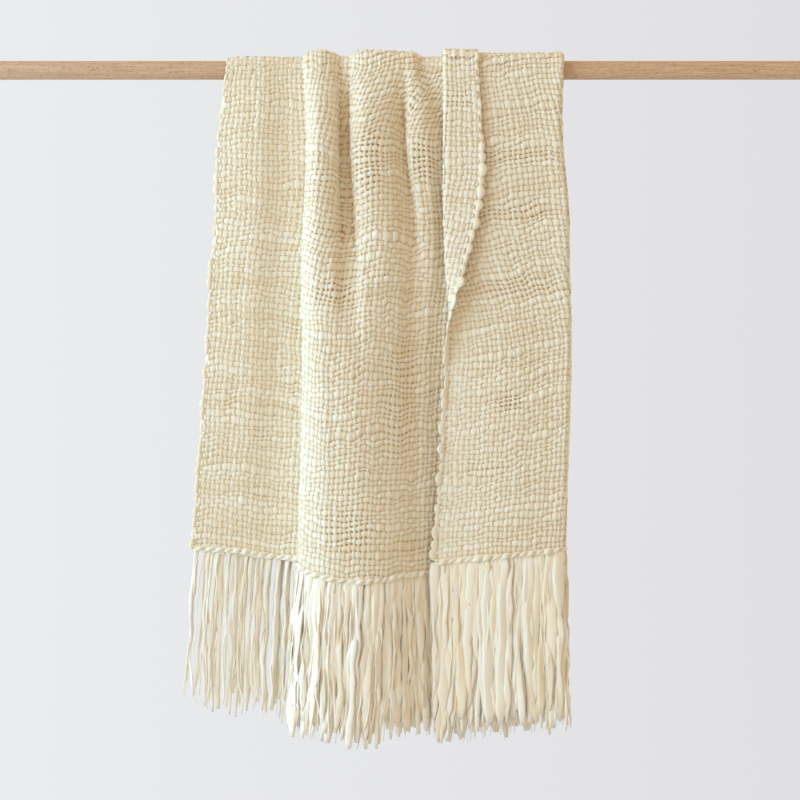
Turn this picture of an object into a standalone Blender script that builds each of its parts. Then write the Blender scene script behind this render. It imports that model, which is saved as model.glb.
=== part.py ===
"""A fringed wool blanket hung over a round wooden rod.

The cloth is one sheet. Its right part is doubled back over the left one, and the two
layers hang over the rod together, so one half of the length falls in front of the rod
and the other half behind it. Deep upright folds run down the middle of both halves.

X runs along the rod, Z is up, and the front of the cloth faces -Y. The origin is the
centre of the rod's left end face. Lengths in the tables are in millimetres.
"""

import math
import random

import bmesh
import bpy
import numpy as np

MM = 0.001

# Rod
ROD_LENGTH = 1.2
ROD_RADIUS = 0.0125
ROD_SIDES = 40
ROD_EDGE = 0.001

# Cloth. The tables measure along the rod from the rod's middle, and out from its axis
CLOTH_MIDDLE = ROD_LENGTH / 2
CLOTH_THICKNESS = 0.004
NOMINAL_DROP = 660
WRAP_STEPS = 8
FRONT_ROWS = (0, 0.06, 0.12, 0.2, 0.3, 0.4, 0.5, 0.62, 0.75, 0.88, 1)
BACK_ROWS = (0, 0.1, 0.22, 0.36, 0.5, 0.66, 0.83, 1)

# Fringe
HEM_GAP = 0.002
STRIP_HEIGHT = 0.005
STRIP_STEP = 0.005
STRAND_LENGTH = 0.215
STRAND_LEVELS = (0.3, 0.65, 1.0)
STRAND_SWAY = 0.0012
STRAND_TAPER = 0.72
FRINGE_SPREAD = 0.012
FRINGE_REACH = 0.3
FRINGE_WAVE = 0.003
FRINGE_WAVE_STRANDS = 17
FRINGE_WAVE_TURNS = 0.8
FRINGE_SEED = 7

# Depths below the rod's axis at which the front folds are given
FRONT_DEPTHS = (0, 80, 200, 280, 370, 660)

# Front folds from the left selvedge to the doubled layer's last flat stretch.
# Columns: name, steps to the next row, hem below the rod's axis,
# then (along the rod, out from its axis) at each of FRONT_DEPTHS
FRONT_FOLDS = (
    ("left_selvedge", 4, 644, (-233, 17), (-243, 17), (-247, 18), (-254, 19), (-258, 20), (-278, 22)),
    ("panel_ridge", 2, 648, (-186, 18), (-190, 22), (-194, 23), (-198, 23), (-200, 22), (-215, 20)),
    ("panel_hollow", 2, 656, (-150, 17), (-150, 17), (-154, 17), (-157, 17), (-158, 17), (-170, 17)),
    ("fold_1_root", 3, 660, (-131, 17), (-119, 17), (-116, 18), (-117, 18.5), (-117, 19), (-122, 20)),
    ("fold_1_lip", 3, 668, (-128, 21), (-124, 26), (-128, 30), (-131, 32), (-129, 35), (-135, 38)),
    ("fold_1_crest", 3, 680, (-109, 26.5), (-107, 40), (-110, 47), (-110, 51), (-108, 54), (-102, 59)),
    ("fold_1_flank", 2, 684, (-88, 22), (-86, 32), (-88, 41), (-90, 51), (-88, 56), (-80, 61)),
    ("valley_1", 2, 685, (-80, 17.5), (-80, 10), (-77, 20), (-75, 41), (-73, 56), (-68, 61)),
    ("valley_1_end", 1, 686, (-69, 17.5), (-69, 10), (-64, 20), (-61, 41), (-60, 55), (-57, 61)),
    ("fold_2_edge", 2, 686, (-64, 22), (-64, 29), (-54, 38), (-48, 49), (-48, 54), (-42, 59)),
    ("fold_2_crest", 3, 684, (-46, 26.5), (-46, 39), (-37, 44), (-30, 48), (-30, 50), (-22, 54)),
    ("fold_2_slope", 2, 680, (-16, 26), (-16, 31), (-10, 38), (-6, 41), (-6, 42), (0, 44)),
    ("valley_2", 1, 678, (7, 24), (6, 12), (18, 17), (21, 25), (18, 28), (20, 33)),
    ("fold_3_ridge", 2, 677, (14, 25), (13, 29), (30, 30), (37, 26), (33, 25), (34, 26)),
    ("fold_3_crest", 2, 675, (22, 22), (28, 31), (41, 28), (46, 23), (43, 21), (42, 22)),
    ("fold_3_end", 1, 673, (30, 17), (51, 20), (53, 20), (54, 19), (52, 18.5), (50, 19)),
    ("inner_start", 4, 672, (40, 17), (58, 17), (60, 18), (60, 18), (58, 18), (58, 18)),
    ("inner_middle", 4, 664, (138, 17), (138, 17), (140, 17), (140, 17), (140, 18), (136, 17)),
    ("inner_right", 2, 650, (204, 17), (202, 17), (211, 17), (212, 17), (213, 17), (205, 17)),
    ("right_fold_in", 2, 646, (215, 17), (213, 17), (222, 17.5), (223, 17.5), (225, 17.5), (217, 18)),
    ("right_fold", 2, 644, (219, 20.5), (217, 21), (226, 22), (227, 22), (229, 22.5), (221, 23.5)),
    ("right_fold_out", 2, 645, (214, 24.2), (211, 25), (220, 27), (221, 27.5), (223, 28), (214, 29)),
    ("outer_right", 3, 648, (200, 22.5), (196, 24), (204, 26.5), (205, 27.5), (206, 28), (196, 30)),
    ("outer_middle", 3, 655, (136, 22.5), (136, 25), (140, 29), (140, 30), (140, 31), (133, 34)),
    ("outer_left", 2, 660, (80, 22.5), (82, 24), (84, 27), (85, 28.5), (86, 29.5), (74, 31)),
)

# The outer layer's left end turns back on itself as a flap that runs out downwards.
# Columns: depth, start of the turn along the rod, out from the axis, turn radius,
# degrees turned, length of the flap after the turn
FRONT_FLAP = (
    (0, 61, 22.5, 2.8, 180, 44),
    (80, 62, 24, 3.6, 180, 48),
    (200, 63, 27, 4.6, 178, 40),
    (270, 66, 28, 5.2, 170, 20),
    (330, 71, 29, 6, 110, 6),
    (400, 68, 30, 8, 30, 3),
    (660, 51, 31, 10, 15, 3),
)
FLAP_TURN_STEPS = 5
FLAP_STEPS = 3
FLAP_HEM = 662

BACK_DEPTHS = (0, 140, 380, 660)

# Back folds, with the same rows and columns as the front ones
BACK_FOLDS = (
    ("left_selvedge", 4, 652, (-233, 17), (-240, 18), (-250, 20), (-264, 24)),
    ("panel_ridge", 2, 655, (-186, 18), (-188, 24), (-192, 28), (-203, 26)),
    ("panel_hollow", 2, 660, (-150, 17), (-150, 17), (-154, 18), (-163, 20)),
    ("fold_1_root", 3, 664, (-131, 17), (-124, 17), (-122, 20), (-128, 22)),
    ("fold_1_lip", 3, 668, (-128, 21), (-124, 29), (-119, 34), (-122, 34)),
    ("fold_1_crest", 3, 676, (-109, 26.5), (-106, 42), (-98, 50), (-96, 50)),
    ("fold_1_flank", 2, 677, (-88, 22), (-84, 34), (-75, 44), (-72, 47)),
    ("valley_1", 2, 676, (-80, 17.5), (-76, 18), (-67, 26), (-61, 36)),
    ("valley_1_end", 1, 677, (-69, 17.5), (-66, 18), (-58, 26), (-52, 34)),
    ("fold_2_edge", 2, 678, (-64, 22), (-58, 30), (-48, 36), (-41, 40)),
    ("fold_2_crest", 3, 680, (-46, 26.5), (-42, 40), (-33, 46), (-26, 46)),
    ("fold_2_slope", 2, 676, (-16, 26), (-14, 32), (-8, 38), (-2, 38)),
    ("valley_2", 1, 672, (7, 24), (9, 19), (13, 25), (18, 27)),
    ("fold_3_ridge", 2, 671, (14, 25), (18, 26), (25, 29), (30, 28)),
    ("fold_3_crest", 2, 670, (22, 22), (32, 26), (38, 26), (42, 24)),
    ("fold_3_end", 1, 669, (30, 17), (46, 18), (50, 18), (52, 18)),
    ("inner_start", 4, 668, (40, 17), (56, 17), (58, 17), (60, 17)),
    ("inner_middle", 4, 660, (138, 17), (138, 17), (138, 18), (136, 18)),
    ("inner_right", 2, 655, (204, 17), (205, 17), (208, 17), (203, 18)),
    ("right_fold_in", 2, 653, (215, 17), (216, 17.5), (219, 18), (215, 19)),
    ("right_fold", 2, 652, (219, 20.5), (220, 21.5), (223, 23), (220, 25)),
    ("right_fold_out", 2, 652, (214, 24.2), (214, 26), (216, 28.5), (213, 31)),
    ("outer_right", 3, 655, (200, 22.5), (198, 25), (199, 28), (196, 31)),
    ("outer_middle", 3, 660, (136, 22.5), (136, 27), (134, 31), (131, 33)),
    ("outer_left", 2, 664, (80, 22.5), (82, 26), (82, 30), (80, 31)),
)
BACK_FLAP = (
    (0, 61, 22.5, 2.8, 180, 44),
    (140, 62, 26, 4, 180, 42),
    (380, 63, 30, 4.8, 176, 36),
    (660, 62, 31, 5.5, 172, 30),
)

MATERIALS = {
    "rod": ((0.60, 0.42, 0.27, 1), 0.5),
    "throw": ((0.73, 0.66, 0.54, 1), 0.95),
    "fringe": ((0.75, 0.69, 0.57, 1), 0.95),
}


def smooth_through(knots, values, at):
    """Values at given places on a smooth curve that passes through the knots.

    Between two knots the curve never leaves the range of their values, so cloth that
    rests on something doesn't sink into it.
    """
    knots = np.asarray(knots, float)
    values = np.asarray(values, float)
    at = np.asarray(at, float)
    shape = (-1,) + (1,) * (values.ndim - 1)
    span = np.diff(knots)
    slope = np.diff(values, axis=0) / span.reshape(shape)
    before, after = slope[:-1], slope[1:]
    limit = 3 * np.minimum(abs(before), abs(after))
    middle = np.where(before * after > 0, np.clip((before + after) / 2, -limit, limit), 0)
    tangent = np.concatenate((slope[:1], middle, slope[-1:]))
    left = np.clip(np.searchsorted(knots, at, side="right") - 1, 0, len(span) - 1)
    width = span[left].reshape(shape)
    t = ((at - knots[left]) / span[left]).reshape(shape)
    rise = values[left + 1] - values[left]
    start = tangent[left] * width
    end = tangent[left + 1] * width
    square = t * t * (3 * rise - 2 * start - end)
    cube = t ** 3 * (start + end - 2 * rise)
    return values[left] + t * start + square + cube


def flap_points(start, out, radius, degrees, length):
    """Turn of the cloth from its run to the left, then the straight flap after it."""
    points = []
    for step in range(FLAP_TURN_STEPS + 1):
        angle = math.radians(degrees) * step / FLAP_TURN_STEPS
        points.append((start - radius * math.sin(angle), out + radius * (1 - math.cos(angle))))
    angle = math.radians(degrees)
    along, away = points[-1]
    points.append((along - length * math.cos(angle), away + length * math.sin(angle)))
    return points


def section_points(depths, folds, flap, depth):
    """The cloth's section at one depth: (along the rod, out from its axis) at each fold."""
    tracks = [smooth_through(depths, fold[3:], [depth])[0] for fold in folds]
    turn = smooth_through([row[0] for row in flap], [row[1:] for row in flap], [depth])[0]
    return np.array(tracks + flap_points(*turn))


def section_columns(points, steps):
    """The section's points with each stretch between two folds cut into its own steps."""
    lengths = np.linalg.norm(np.diff(points, axis=0), axis=1)
    knots = np.concatenate(([0], np.cumsum(lengths)))
    at = [knots[i] + lengths[i] * k / n for i, n in enumerate(steps) for k in range(n)]
    return smooth_through(knots, points, at + [knots[-1]])


def column_steps(folds):
    """Steps after each fold, the turn and the flap included."""
    return [fold[1] for fold in folds] + [1] * FLAP_TURN_STEPS + [FLAP_STEPS]


def hem_columns(folds):
    """Hem depth at each column."""
    hems = [fold[2] for fold in folds] + [FLAP_HEM] * (FLAP_TURN_STEPS + 2)
    steps = column_steps(folds)
    at = [i + k / n for i, n in enumerate(steps) for k in range(n)] + [len(steps)]
    return np.interp(at, range(len(hems)), hems)


def hanging_row(section, hem, share, side):
    """Points of one row of the cloth that hangs down; side is -1 in front, 1 behind."""
    return [(CLOTH_MIDDLE + x * MM, side * d * MM, -share * h * MM)
            for (x, d), h in zip(section, hem)]


def cloth_rows():
    """Rows of points from the front hem over the rod to the back hem."""
    rows = []
    hem = hem_columns(FRONT_FOLDS)
    steps = column_steps(FRONT_FOLDS)
    for share in reversed(FRONT_ROWS):
        points = section_points(FRONT_DEPTHS, FRONT_FOLDS, FRONT_FLAP, share * NOMINAL_DROP)
        rows.append(hanging_row(section_columns(points, steps), hem, share, -1))
    front = section_columns(section_points(FRONT_DEPTHS, FRONT_FOLDS, FRONT_FLAP, 0), steps)
    for step in range(1, WRAP_STEPS):
        angle = math.pi * step / WRAP_STEPS
        rows.append([(CLOTH_MIDDLE + x * MM, -d * MM * math.cos(angle), d * MM * math.sin(angle))
                     for x, d in front])
    hem = hem_columns(BACK_FOLDS)
    steps = column_steps(BACK_FOLDS)
    for share in BACK_ROWS:
        points = section_points(BACK_DEPTHS, BACK_FOLDS, BACK_FLAP, share * NOMINAL_DROP)
        rows.append(hanging_row(section_columns(points, steps), hem, share, 1))
    return rows


def add_object(name, mesh, collection, material):
    """Put a mesh into the collection as a named object with one material."""
    obj = bpy.data.objects.new(name, mesh)
    collection.objects.link(obj)
    mesh.materials.append(material)
    return obj


def make_material(name):
    """Plain material of a part's own colour and roughness."""
    colour, roughness = MATERIALS[name]
    material = bpy.data.materials.new(name)
    material.use_nodes = True
    shader = material.node_tree.nodes["Principled BSDF"]
    shader.inputs["Base Color"].default_value = colour
    shader.inputs["Roughness"].default_value = roughness
    shader.inputs["Metallic"].default_value = 0
    return material


def build_rod(collection):
    """Straight round rod along X, with its left end face at the origin."""
    bpy.ops.mesh.primitive_cylinder_add(
        vertices=ROD_SIDES, radius=ROD_RADIUS, depth=ROD_LENGTH,
        location=(ROD_LENGTH / 2, 0, 0), rotation=(0, math.pi / 2, 0))
    rod = bpy.context.object
    rod.name = "rod"
    bevel = rod.modifiers.new("Softened end edges", "BEVEL")
    bevel.width = ROD_EDGE
    bevel.segments = 2
    bevel.limit_method = "ANGLE"
    rod.data.shade_smooth()
    rod.data.set_sharp_from_angle(angle=math.radians(40))
    for owner in rod.users_collection:
        owner.objects.unlink(rod)
    collection.objects.link(rod)
    rod.data.materials.append(make_material("rod"))


def build_throw(collection, rows):
    """The whole cloth: a grid laid on the folds, then given its thickness."""
    mesh = bpy.data.meshes.new("throw")
    cloth = bmesh.new()
    bmesh.ops.create_grid(cloth, x_segments=len(rows[0]) - 1, y_segments=len(rows) - 1)
    cloth.verts.ensure_lookup_table()
    for index, point in enumerate(point for row in rows for point in row):
        cloth.verts[index].co = point
    cloth.to_mesh(mesh)
    cloth.free()
    throw = add_object("throw", mesh, collection, make_material("throw"))
    solidify = throw.modifiers.new("Cloth thickness", "SOLIDIFY")
    solidify.thickness = CLOTH_THICKNESS
    solidify.offset = 0
    solidify.use_even_offset = True
    mesh.shade_smooth()


def hem_stations(row):
    """Evenly spaced points along a hem, with the sideways direction at each."""
    row = np.array(row)
    lengths = np.linalg.norm(np.diff(row, axis=0), axis=1)
    places = np.concatenate(([0], np.cumsum(lengths)))
    count = 2 * round(places[-1] / STRIP_STEP / 2) + 1
    at = np.linspace(0, places[-1], count + 1)
    points = np.stack([np.interp(at, places, row[:, axis]) for axis in range(3)], axis=1)
    along = np.gradient(points[:, :2], axis=0)
    along /= np.linalg.norm(along, axis=1)[:, None]
    sideways = np.stack((-along[:, 1], along[:, 0], np.zeros(len(along))), axis=1)
    return points, sideways


def build_fringe(name, collection, row, seed):
    """A narrow strip under one hem, with a strand drawn down from every other face."""
    chance = random.Random(seed)
    points, sideways = hem_stations(row)
    strip = bmesh.new()
    bmesh.ops.create_grid(strip, x_segments=len(points) - 1, y_segments=1)
    strip.verts.ensure_lookup_table()
    strip.faces.ensure_lookup_table()
    drop = np.array((0, 0, HEM_GAP + STRIP_HEIGHT))
    for edge in (0, 1):
        for index, point in enumerate(points):
            shift = sideways[index] * CLOTH_THICKNESS * (edge - 0.5)
            strip.verts[edge * len(points) + index].co = point - drop + shift
    underside = strip.faces[:]
    top = bmesh.ops.extrude_face_region(strip, geom=underside, use_keep_orig=True)
    lifted = [item for item in top["geom"] if isinstance(item, bmesh.types.BMVert)]
    bmesh.ops.translate(strip, verts=lifted, vec=(0, 0, STRIP_HEIGHT))
    bmesh.ops.recalc_face_normals(strip, faces=strip.faces)
    for number, face in enumerate(underside[::2]):
        draw_strand(strip, face, number, chance)
    mesh = bpy.data.meshes.new(name)
    strip.to_mesh(mesh)
    strip.free()
    mesh.shade_smooth()
    mesh.set_sharp_from_angle(angle=math.radians(50))
    material = bpy.data.materials.get("fringe") or make_material("fringe")
    add_object(name, mesh, collection, material)


def draw_strand(strip, face, number, chance):
    """Draw one underside face down in steps, swaying a little and growing thinner.

    All strands share one slow sideways wave and spread away from the middle, so that
    neighbours never cross.
    """
    length = STRAND_LENGTH * chance.uniform(0.86, 1.05)
    root = face.calc_center_median()
    spread = FRINGE_SPREAD * (root.x - CLOTH_MIDDLE) / FRINGE_REACH
    corners = [vert.co - root for vert in face.verts]
    for level in STRAND_LEVELS:
        drawn = bmesh.ops.extrude_discrete_faces(strip, faces=[face])
        face = drawn["faces"][0]
        turns = FRINGE_WAVE_TURNS * level + number / FRINGE_WAVE_STRANDS
        centre = root.copy()
        centre.x += spread * level + FRINGE_WAVE * level * math.sin(math.tau * turns)
        centre.x += chance.uniform(-STRAND_SWAY, STRAND_SWAY)
        centre.y += chance.uniform(-STRAND_SWAY, STRAND_SWAY) / 2
        centre.z -= length * level
        size = 1 - (1 - STRAND_TAPER) * level
        for vert, corner in zip(face.verts, corners):
            vert.co = centre + corner * size


def main():
    for obj in list(bpy.data.objects):
        bpy.data.objects.remove(obj)
    collection = bpy.data.collections.new("wool_blanket_on_rod")
    bpy.context.scene.collection.children.link(collection)
    rows = cloth_rows()
    build_rod(collection)
    build_throw(collection, rows)
    build_fringe("fringe_front", collection, rows[0], FRINGE_SEED)
    build_fringe("fringe_back", collection, rows[-1], FRINGE_SEED + 1)


main()
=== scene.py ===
# %% [markdown]
# A fringed wool blanket hung over a round beech rod.
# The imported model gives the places: X runs along the rod, Z is up, and the front of
# the cloth faces -Y. Everything below adds the looks: real yarns that pass over and
# under each other, the loose fringe, the wood, a soft light and a level camera.

import math

import bpy
import numpy as np
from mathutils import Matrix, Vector


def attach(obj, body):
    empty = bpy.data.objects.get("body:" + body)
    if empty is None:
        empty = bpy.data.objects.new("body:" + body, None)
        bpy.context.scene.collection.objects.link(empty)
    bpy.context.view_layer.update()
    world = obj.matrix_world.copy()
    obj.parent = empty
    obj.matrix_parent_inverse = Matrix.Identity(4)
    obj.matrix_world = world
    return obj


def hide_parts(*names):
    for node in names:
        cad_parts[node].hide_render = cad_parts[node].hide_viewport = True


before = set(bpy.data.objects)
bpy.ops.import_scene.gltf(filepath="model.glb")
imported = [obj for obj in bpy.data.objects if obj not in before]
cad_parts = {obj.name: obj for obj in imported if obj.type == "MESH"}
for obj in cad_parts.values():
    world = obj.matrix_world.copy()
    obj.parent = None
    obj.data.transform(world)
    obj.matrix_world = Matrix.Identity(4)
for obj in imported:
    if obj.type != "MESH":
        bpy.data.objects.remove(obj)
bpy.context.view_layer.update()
bpy.ops.object.select_all(action="DESELECT")

# %% [markdown]
# The camera looks straight at the blanket, level with its middle, through a long lens,
# so that upright folds stay upright. The rod is 25 mm thick and gives the scale: the
# square picture takes in 1.08 m at the rod.

# %% Camera
ROD_MIDDLE = 0.6
PICTURE_WIDTH = 1.08
PICTURE_MIDDLE_Z = -0.445
CAMERA_DISTANCE = 2.6

camera_data = bpy.data.cameras.new("camera")
camera_data.sensor_width = 36
camera_data.lens = camera_data.sensor_width * CAMERA_DISTANCE / PICTURE_WIDTH
camera = bpy.data.objects.new("camera", camera_data)
bpy.context.scene.collection.objects.link(camera)
camera.location = (ROD_MIDDLE, -CAMERA_DISTANCE, PICTURE_MIDDLE_Z)
camera.rotation_euler = (math.radians(90), 0, 0)
bpy.context.scene.camera = camera
print("lens", round(camera_data.lens, 1), "mm")

# %% [markdown]
# Colours are easier to read as the hex values that a paint program shows. Blender
# shades in linear light, so one function turns them. A second one adds a node to a
# material with its settings and links in one call, which keeps each finish short.

# %% Colour and node helpers
def linear(hex_colour):
    """Linear RGBA from an sRGB hex colour."""
    parts = [int(hex_colour[i:i + 2], 16) / 255 for i in (1, 3, 5)]
    return [c / 12.92 if c <= 0.04045 else ((c + 0.055) / 1.055) ** 2.4 for c in parts] + [1]


def add_node(material, kind, settings=None, **links):
    """Add a node; settings are its properties or sockets, links its input sources."""
    node = material.node_tree.nodes.new(kind)
    for name, value in (settings or {}).items():
        if name in node.inputs:
            node.inputs[name].default_value = value
        else:
            setattr(node, name, value)
    for name, source in links.items():
        material.node_tree.links.new(source, node.inputs[name.replace("_", " ")])
    return node


def new_material(name, **sockets):
    """A Principled material; sockets are its uniform values."""
    material = bpy.data.materials.new(name)
    material.use_nodes = True
    shader = material.node_tree.nodes["Principled BSDF"]
    for socket, value in sockets.items():
        shader.inputs[socket.replace("_", " ")].default_value = value
    return material, shader


def colour_ramp(material, source, stops):
    """Ramp from (place, hex colour) stops, driven by a source socket."""
    ramp = add_node(material, "ShaderNodeValToRGB", Fac=source)
    while len(ramp.color_ramp.elements) < len(stops):
        ramp.color_ramp.elements.new(0.5)
    for element, (place, colour) in zip(ramp.color_ramp.elements, stops):
        element.position = place
        element.color = linear(colour)
    return ramp.outputs["Color"]


print("mid grey in linear light", round(linear("#808080")[0], 3))

# %% [markdown]
# The blanket hangs in front of nothing but pale light. A plain floor lies under it, out
# of the picture.

# %% Floor
FLOOR_MIDDLE = (ROD_MIDDLE, -0.8, -1.7)
FLOOR_SIZE = (6, 4, 1)

bpy.ops.mesh.primitive_plane_add(size=1, location=FLOOR_MIDDLE)
floor = bpy.context.object
floor.name = "studio_floor"
floor.scale = FLOOR_SIZE
bpy.ops.object.transform_apply(scale=True)
bpy.ops.object.select_all(action="DESELECT")
floor_material, floor_shader = new_material("matt_studio_paper", Roughness=0.9)
floor_shader.inputs["Base Color"].default_value = linear("#d2d2d2")
floor.data.materials.append(floor_material)
print("floor at", FLOOR_MIDDLE[2], "m")

# %% [markdown]
# A strong even fill surrounds the cloth. It has the warmth of a room, a little less so
# from the right. The camera itself sees a pale grey there, slightly lighter on the left.

# %% Fill and backdrop
SIDE_BLEND = 0.2
FILL_STOPS = ((0, "#dfc8aa"), (1, "#d3c7b2"))
BACKDROP_STOPS = ((0, "#ebecee"), (1, "#e0e0e2"))
bpy.context.scene.view_settings.view_transform = "Standard"
world = bpy.data.worlds.new("pale_studio")
world.use_nodes = True
sky = world.node_tree.nodes["Background"]
direction = add_node(world, "ShaderNodeTexCoord").outputs["Generated"]
sideways_look = add_node(world, "ShaderNodeSeparateXYZ", Vector=direction).outputs["X"]
side_share = add_node(world, "ShaderNodeMapRange", {
    "From Min": -SIDE_BLEND, "From Max": SIDE_BLEND}, Value=sideways_look)
backdrop = colour_ramp(world, side_share.outputs["Result"], BACKDROP_STOPS)
seen = add_node(world, "ShaderNodeLightPath").outputs["Is Camera Ray"]
fill = colour_ramp(world, side_share.outputs["Result"], FILL_STOPS)
fill_or_backdrop = add_node(world, "ShaderNodeMix", {"data_type": "RGBA"})
world.node_tree.links.new(seen, fill_or_backdrop.inputs[0])
world.node_tree.links.new(fill, fill_or_backdrop.inputs[6])
world.node_tree.links.new(backdrop, fill_or_backdrop.inputs[7])
world.node_tree.links.new(fill_or_backdrop.outputs[2], sky.inputs["Color"])
bpy.context.scene.world = world
print("world", world.name)

# %% [markdown]
# The left sides of the folds are bright and nearly white, and their other sides are as
# bright but warm. So one large soft light of cool daylight stands well to the left. A
# weaker cool light behind, on the right, does for the back what the first does here.

# %% Lights
CLOTH_CENTRE = (ROD_MIDDLE, 0, -0.35)
LIGHTS = (
    # name, place, size, watts, colour
    ("daylight", (-2.6, -1.15, 0.4), 3.0, 172, "#afddff"),
    ("back_light", (3.2, 2.9, 0.5), 2.5, 110, "#d3ecff"),
)


def area_light(name, place, size, power, colour):
    """Square soft light at a place, turned to the middle of the cloth."""
    data = bpy.data.lights.new(name, "AREA")
    data.size = size
    data.energy = power
    data.color = linear(colour)[:3]
    light = bpy.data.objects.new(name, data)
    bpy.context.scene.collection.objects.link(light)
    light.location = place
    away = Vector(place) - Vector(CLOTH_CENTRE)
    light.rotation_euler = away.to_track_quat("Z", "Y").to_euler()


for light_row in LIGHTS:
    area_light(*light_row)
print(len(LIGHTS), "soft lights")

# %% [markdown]
# Beech is a pale wood with a fine, even figure: short darker flecks lie along the grain
# and are only a few millimetres long. A dowel is turned along the grain, so all of them
# run along X. Its sanded surface has a soft satin gloss.

# %% Beech of the rod
GRAIN_STREAK = 0.06
GRAIN_WIDTH = 0.0022
GRAIN_STOPS = ((0.3, "#c49b78"), (0.5, "#d5b08d"), (0.7, "#dfbd9d"))
FLECK_LENGTH = 0.006
FLECK_WIDTH = 0.0006
FLECK_EDGE = (0.56, 0.68)
FLECK_COLOUR = "#a87450"
FLECK_RELIEF = 0.0002

beech, beech_shader = new_material("beech_turned_sanded", Roughness=0.5)
where = add_node(beech, "ShaderNodeTexCoord").outputs["Object"]
grain_place = add_node(beech, "ShaderNodeMapping", {
    "Scale": (1 / GRAIN_STREAK, 1 / GRAIN_WIDTH, 1 / GRAIN_WIDTH)}, Vector=where)
grain = add_node(beech, "ShaderNodeTexNoise", {
    "Scale": 1, "Detail": 5, "Roughness": 0.6}, Vector=grain_place.outputs["Vector"])
grain_colour = colour_ramp(beech, grain.outputs["Fac"], GRAIN_STOPS)
fleck_place = add_node(beech, "ShaderNodeMapping", {
    "Scale": (1 / FLECK_LENGTH, 1 / FLECK_WIDTH, 1 / FLECK_WIDTH)}, Vector=where)
fleck = add_node(beech, "ShaderNodeTexNoise", {
    "Scale": 1, "Detail": 2}, Vector=fleck_place.outputs["Vector"])
fleck_mask = add_node(beech, "ShaderNodeMapRange", {
    "From Min": FLECK_EDGE[0], "From Max": FLECK_EDGE[1]}, Value=fleck.outputs["Fac"])
wood_colour = add_node(beech, "ShaderNodeMix", {"data_type": "RGBA"})
tree = beech.node_tree
tree.links.new(fleck_mask.outputs["Result"], wood_colour.inputs[0])
tree.links.new(grain_colour, wood_colour.inputs[6])
wood_colour.inputs[7].default_value = linear(FLECK_COLOUR)
tree.links.new(wood_colour.outputs[2], beech_shader.inputs["Base Color"])
grain_bump = add_node(beech, "ShaderNodeBump", {
    "Strength": 0.25, "Distance": FLECK_RELIEF}, Height=fleck.outputs["Fac"])
tree.links.new(grain_bump.outputs["Normal"], beech_shader.inputs["Normal"])

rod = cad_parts["rod"]
rod.data.materials.clear()
rod.data.materials.append(beech)
print("rod in", beech.name)

# %% [markdown]
# The wool is undyed and softly spun. Each yarn has its own tone between two creams,
# which a mesh attribute named tone carries; painted shade is lowered into that same tone.
# Fine noise stands for the fuzz: it breaks up the colour a little and gives a fine bump.
# In the fringe the fibres lie along the strands, so the noise is drawn out downwards to
# streaks there. Wool has no gloss, only a faint sheen where its fuzz catches the light
# at a flat angle.

# %% Wool finishes
FUZZ_SHARE = 0.5
WOOL_SHEEN_COLOUR = "#fff4e2"


def wool_material(name, dark, light, fuzz_size, bump, sheen, stretch=1):
    """Soft wool: its tone comes from the mesh, its fuzz is noise that may be drawn out.

    The noise lies around a half, so the tone is lowered by as much as it adds there.
    """
    wool, shader = new_material(name, Roughness=0.95, Sheen_Weight=sheen, Sheen_Roughness=0.6)
    shader.inputs["Sheen Tint"].default_value = linear(WOOL_SHEEN_COLOUR)
    tone = add_node(wool, "ShaderNodeAttribute", {"attribute_name": "tone"}).outputs["Fac"]
    place = add_node(wool, "ShaderNodeTexCoord").outputs["Object"]
    drawn_out = add_node(wool, "ShaderNodeMapping", {
        "Scale": (1 / fuzz_size, 1 / fuzz_size, 1 / fuzz_size / stretch)}, Vector=place)
    fuzz = add_node(wool, "ShaderNodeTexNoise", {
        "Scale": 1, "Detail": 3, "Roughness": 0.65}, Vector=drawn_out.outputs["Vector"])
    mixed = add_node(wool, "ShaderNodeMath", {"operation": "MULTIPLY_ADD", "use_clamp": True})
    links = wool.node_tree.links
    links.new(fuzz.outputs["Fac"], mixed.inputs[0])
    mixed.inputs[1].default_value = FUZZ_SHARE
    lowered = add_node(wool, "ShaderNodeMath", {"operation": "SUBTRACT"})
    links.new(tone, lowered.inputs[0])
    lowered.inputs[1].default_value = FUZZ_SHARE / 2
    links.new(lowered.outputs[0], mixed.inputs[2])
    colour = colour_ramp(wool, mixed.outputs[0], ((0, dark), (1, light)))
    links.new(colour, shader.inputs["Base Color"])
    relief = add_node(wool, "ShaderNodeBump", {
        "Strength": bump, "Distance": fuzz_size}, Height=fuzz.outputs["Fac"])
    links.new(relief.outputs["Normal"], shader.inputs["Normal"])
    return wool


yarn_wool = wool_material("wool_yarn_softly_spun", "#e4c898", "#fdf7e6", 0.0012, 0.25, 0.4)
fringe_wool = wool_material("wool_fringe_unspun", "#f8e3bd", "#fdf8ec", 0.0009, 0.2, 0.8, 30)
# the felt's colours are those of wool in shade: painted shade for the gaps between yarns
felt_wool_painted_shade = wool_material("wool_fuzz_painted_gap_shade", "#a27a4c", "#e8cfa6", 0.0015, 0.3, 0.2)
print("wool", [wool.name for wool in (yarn_wool, fringe_wool, felt_wool_painted_shade)])

# %% [markdown]
# The folds are the same ones that the solid of the cloth has, row by row: how far along
# the rod and how far out from its axis each fold lies, at a few depths. One smooth
# curve runs through each section, and the sections blend smoothly downwards.

# %% Fold tables, in millimetres
MM = 0.001
REST_ROWS = 660
WRAP_RUN = 66

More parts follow.
